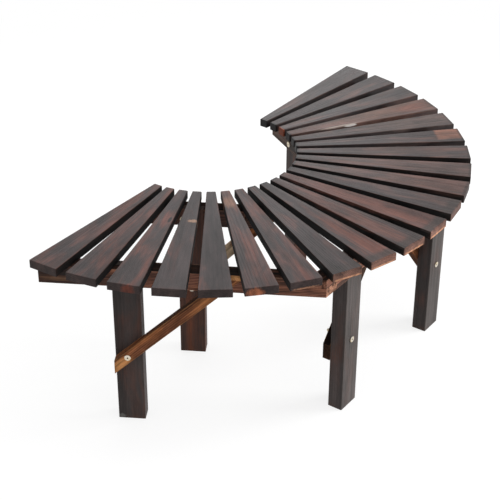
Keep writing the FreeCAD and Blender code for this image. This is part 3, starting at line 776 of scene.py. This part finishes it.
PLATING_PALE = paint(222, 216, 206)
PLATING_YELLOW = paint(212, 196, 166)
PLATING_SPECK = paint(168, 156, 132)
GRIME_AND_SHADE = paint(30, 25, 20)
CLOUDS = {"stretch": (160, 160, 160), "detail": 3}
SPECKS = {"stretch": (1500, 1500, 1500)}
CLOUDED = (0.35, 0.65)
SPECKLED = (0.55, 0.75)
SPECK_COVER = 0.5
SPECK_BUMP = 0.3
SPECK_DEPTH = 0.0001
RECESS_REACH = 0.003
OPEN_SURFACE = (0.35, 0.85)
STEEL_ROUGHNESS = 0.34
CLOUD_ROUGHNESS = 0.2


def make_steel():
    material = bpy.data.materials.new("plated_steel")
    material.use_nodes = True
    g = Graph(material.node_tree)
    shader = material.node_tree.nodes["Principled BSDF"]
    place = g.node("ShaderNodeTexCoord").outputs["Object"]
    cloud = g.noise(place, **CLOUDS)
    speck = g.noise(place, **SPECKS)
    colour = g.mix(g.smooth(cloud, *CLOUDED), PLATING_PALE, PLATING_YELLOW)
    colour = g.mix(g.times(g.smooth(speck, *SPECKLED), SPECK_COVER), colour, PLATING_SPECK)
    # The occlusion node darkens sockets and recesses: grime and painted shade
    recess_shade = g.node("ShaderNodeAmbientOcclusion", samples=8)
    recess_shade.inputs["Distance"].default_value = RECESS_REACH
    colour = g.mix(g.smooth(recess_shade.outputs["AO"], *OPEN_SURFACE), GRIME_AND_SHADE, colour)
    shader.inputs["Metallic"].default_value = 1
    g.feed(shader.inputs["Base Color"], colour)
    g.feed(shader.inputs["Roughness"], g.total(STEEL_ROUGHNESS, (CLOUD_ROUGHNESS, cloud)))
    bump = g.node("ShaderNodeBump")
    bump.inputs["Strength"].default_value = SPECK_BUMP
    bump.inputs["Distance"].default_value = SPECK_DEPTH
    g.feed(bump.inputs["Height"], speck)
    g.feed(shader.inputs["Normal"], bump.outputs[0])
    return material


FASTENERS = ("bolts", "washers", "nuts", "screws")

steel = make_steel()
for name in nodes:
    if name.split("_")[-1] in FASTENERS:
        wear_material(name, steel)


# Floor, light and camera

FLOOR_HALF = 15.0
FLOOR_BOUNCE = (0.4, 0.4, 0.4, 1)
FLOOR_SEEN = (0.9, 0.9, 0.9, 1)
FLOOR_SHADE = 0.3
FLOOR_SHADE_START, FLOOR_SHADE_END = 0.8, 2.6
FLOOR_LIT = 0.66


def seen_ray(g):
    """1 for rays that show the floor or the world, straight or in gloss or glass, and 0 for light."""
    path = g.node("ShaderNodeLightPath").outputs
    straight_or_gloss = g.maths("MAXIMUM", path["Is Camera Ray"], path["Is Glossy Ray"])
    return g.maths("MAXIMUM", straight_or_gloss, path["Is Transmission Ray"])


def make_floor():
    """The floor is matt for the light and glows white for the eye.

    Near the bench a share of the matt floor shows too, for the shadow, and the glow makes up for
    what the matt share lacks to white where no shadow falls.
    """
    mesh = bpy.data.meshes.new("floor")
    corners = [(-1, -1), (1, -1), (1, 1), (-1, 1)]
    mesh.from_pydata([(x * FLOOR_HALF, y * FLOOR_HALF, 0) for x, y in corners], [], [(0, 1, 2, 3)])
    floor = bpy.data.objects.new("floor", mesh)
    bpy.context.scene.collection.objects.link(floor)
    material = bpy.data.materials.new("pale_floor")
    material.use_nodes = True
    tree = material.node_tree
    g = Graph(tree)
    tree.nodes.remove(tree.nodes["Principled BSDF"])
    matt = g.node("ShaderNodeBsdfDiffuse")
    glow = g.node("ShaderNodeEmission")
    seen = seen_ray(g)
    g.feed(matt.inputs["Color"], g.mix(seen, FLOOR_BOUNCE, FLOOR_SEEN))
    distance = g.vectors("LENGTH", g.node("ShaderNodeTexCoord").outputs["Object"], output=1)
    shade = g.smooth(distance, FLOOR_SHADE_END, FLOOR_SHADE_START, 0.0, FLOOR_SHADE)
    glow_share = g.maths("SUBTRACT", 1, shade)
    missing = g.maths("SUBTRACT", 1, g.times(shade, FLOOR_LIT))
    g.feed(glow.inputs["Strength"], g.maths("DIVIDE", missing, glow_share))
    blend = g.node("ShaderNodeMixShader")
    g.feed(blend.inputs[0], g.times(seen, glow_share))
    g.feed(blend.inputs[1], matt.outputs[0])
    g.feed(blend.inputs[2], glow.outputs[0])
    g.feed(tree.nodes["Material Output"].inputs["Surface"], blend.outputs[0])
    mesh.materials.append(material)


SKY_LEVEL = 0.22
SKY_TOP = 0.5
SKY_FRONT = 0.3
FRONT_RIGHT = Vector((0.35, -0.92, 0.18)).normalized()


def make_world():
    world = bpy.data.worlds.new("studio")
    bpy.context.scene.world = world
    world.use_nodes = True
    tree = world.node_tree
    g = Graph(tree)
    background = tree.nodes["Background"]
    background.inputs["Color"].default_value = (1, 1, 1, 1)
    direction = g.node("ShaderNodeTexCoord").outputs["Generated"]
    top = g.smooth(g.split(direction)[2], 0.0, 1.0, 0.0, SKY_TOP)
    toward_front = g.vectors("DOT_PRODUCT", direction, FRONT_RIGHT, output=1)
    front = g.smooth(toward_front, 0.0, 1.0, 0.0, SKY_FRONT)
    level = g.maths("ADD", SKY_LEVEL, g.maths("ADD", top, front))
    difference = g.times(seen_ray(g), g.maths("SUBTRACT", 1, level))
    g.feed(background.inputs["Strength"], g.maths("ADD", level, difference))


def aimed(place, target, roll=0.0):
    """Frame at a place whose -Z looks at a target, with its top towards +Z."""
    turn = (Vector(target) - Vector(place)).to_track_quat("-Z", "Y").to_matrix().to_4x4()
    return Matrix.Translation(place) @ turn @ Matrix.Rotation(math.radians(roll), 4, "Z")


def add_softbox(name, place, target, width, power, in_gloss=False):
    light = bpy.data.lights.new(name, "AREA")
    light.shape = "SQUARE"
    light.size = width
    light.energy = power
    lamp = bpy.data.objects.new(name, light)
    lamp.matrix_world = aimed(place, target)
    lamp.visible_camera = False
    lamp.visible_glossy = in_gloss
    bpy.context.scene.collection.objects.link(lamp)


CAMERA_PLACE = (-2.5793, -1.6060, 2.0911)
CAMERA_TARGET = (0.2554, 0.3942, 0)
CAMERA_ROLL = 0.29
CAMERA_LENS = 96.5
CAMERA_REACH = 100.0
SENSOR_WIDTH = 36.0


def add_camera():
    camera = bpy.data.cameras.new("camera")
    camera.sensor_width = SENSOR_WIDTH
    camera.lens = CAMERA_LENS
    camera.clip_end = CAMERA_REACH
    eye = bpy.data.objects.new("camera", camera)
    eye.matrix_world = aimed(CAMERA_PLACE, CAMERA_TARGET, CAMERA_ROLL)
    bpy.context.scene.collection.objects.link(eye)
    bpy.context.scene.camera = eye


BENCH_MIDDLE = (0, 0, SEAT_HEIGHT / 2)
SEAT_BACK_RIGHT = (0.45, 0.5, SEAT_HEIGHT)

make_floor()
make_world()
add_softbox("key", (2.6, -2.9, 1.5), BENCH_MIDDLE, width=2.0, power=160)
add_softbox("top", (0.5, 0.8, 3.4), BENCH_MIDDLE, width=2.5, power=14)
add_softbox("back", (2.3, 1.8, 1.45), SEAT_BACK_RIGHT, width=1.2, power=7, in_gloss=True)
add_camera()
bpy.context.scene.view_settings.view_transform = "Standard"
